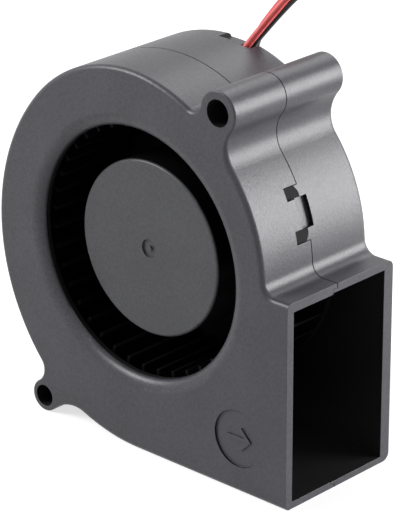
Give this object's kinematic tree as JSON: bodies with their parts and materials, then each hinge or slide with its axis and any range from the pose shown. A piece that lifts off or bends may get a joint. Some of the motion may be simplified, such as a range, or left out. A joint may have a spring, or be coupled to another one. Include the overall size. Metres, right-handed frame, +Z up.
{
  "type": "dc blower fan",
  "caption": "Radial blower fan with a round front inlet, scroll housing, rectangular side outlet, mounting lugs and two lead wires ending in a connector.",
  "frame": {"origin": "centre of the housing's bounding rectangle on the plane it stands on", "axes": "+X towards the outlet, +Y from the inlet face to the back, +Z up"},
  "size_m": [0.076, 0.0523, 0.0926],
  "materials": {
    "housing_plastic": "black moulded thermoplastic with a fine grain",
    "impeller_plastic": "black moulded thermoplastic, satin",
    "yoke_steel": "drawn steel, plated",
    "ferrite": "dark bonded magnet",
    "bearing_steel": "ground bearing steel",
    "washer_plastic": "natural nylon",
    "tube_brass": "turned brass",
    "cage_steel": "pressed sheet",
    "core_steel": "stacked silicon steel sheets",
    "insulator_plastic": "natural thermoplastic",
    "winding_copper": "enamelled copper wire",
    "tinned_metal": "tin plating and solder",
    "board_laminate": "green solder mask on glass laminate",
    "chip_plastic": "black moulding compound",
    "component_ceramic": "tan ceramic",
    "red_insulation": "red extruded vinyl",
    "black_insulation": "black extruded vinyl",
    "tie_plastic": "black nylon",
    "connector_plastic": "natural nylon"
  },
  "bodies": {
    "housing": {"front_housing": "housing_plastic", "rear_housing": "housing_plastic", "bearing_tube": "tube_brass", "front_outer_race": "bearing_steel", "rear_outer_race": "bearing_steel", "bearing_shields": "cage_steel", "stator_core": "core_steel", "upper_insulator": "insulator_plastic", "lower_insulator": "insulator_plastic", "stator_windings": "winding_copper", "terminal_pins": "tinned_metal", "circuit_board": "board_laminate", "driver_chip": "chip_plastic", "board_components": "component_ceramic", "solder_joints": "tinned_metal", "red_lead_inside": "red_insulation", "black_lead_inside": "black_insulation", "red_lead": "red_insulation", "black_lead": "black_insulation", "red_lead_coil": "red_insulation", "black_lead_coil": "black_insulation", "coil_tie": "tie_plastic", "red_lead_tail": "red_insulation", "black_lead_tail": "black_insulation", "connector_housing": "connector_plastic", "connector_contacts": "tinned_metal"},
    "rotor": {"impeller": "impeller_plastic", "rotor_yoke": "yoke_steel", "ring_magnet": "ferrite", "shaft": "bearing_steel", "thrust_washer": "washer_plastic", "retaining_clip": "washer_plastic", "preload_washer": "yoke_steel", "front_inner_race": "bearing_steel", "rear_inner_race": "bearing_steel"},
    "front_cage": {"front_ball_cage": "cage_steel", "front_balls": "bearing_steel"},
    "rear_cage": {"rear_ball_cage": "cage_steel", "rear_balls": "bearing_steel"}
  },
  "joints": [
    {"name": "impeller_spin", "type": "hinge", "parent": "housing", "child": "rotor", "pos_m": [-0.0009, 0, 0.0409], "axis": [0, -1, 0], "continuous": true},
    {"name": "front_cage_spin", "type": "hinge", "parent": "housing", "child": "front_cage", "pos_m": [-0.0009, 0, 0.0409], "axis": [0, -1, 0], "continuous": true},
    {"name": "rear_cage_spin", "type": "hinge", "parent": "housing", "child": "rear_cage", "pos_m": [-0.0009, 0, 0.0409], "axis": [0, -1, 0], "continuous": true}
  ],
  "couplings": [
    {"joint": "front_cage_spin", "follows": "impeller_spin", "ratio": 0.4074},
    {"joint": "rear_cage_spin", "follows": "impeller_spin", "ratio": 0.4074}
  ]
}
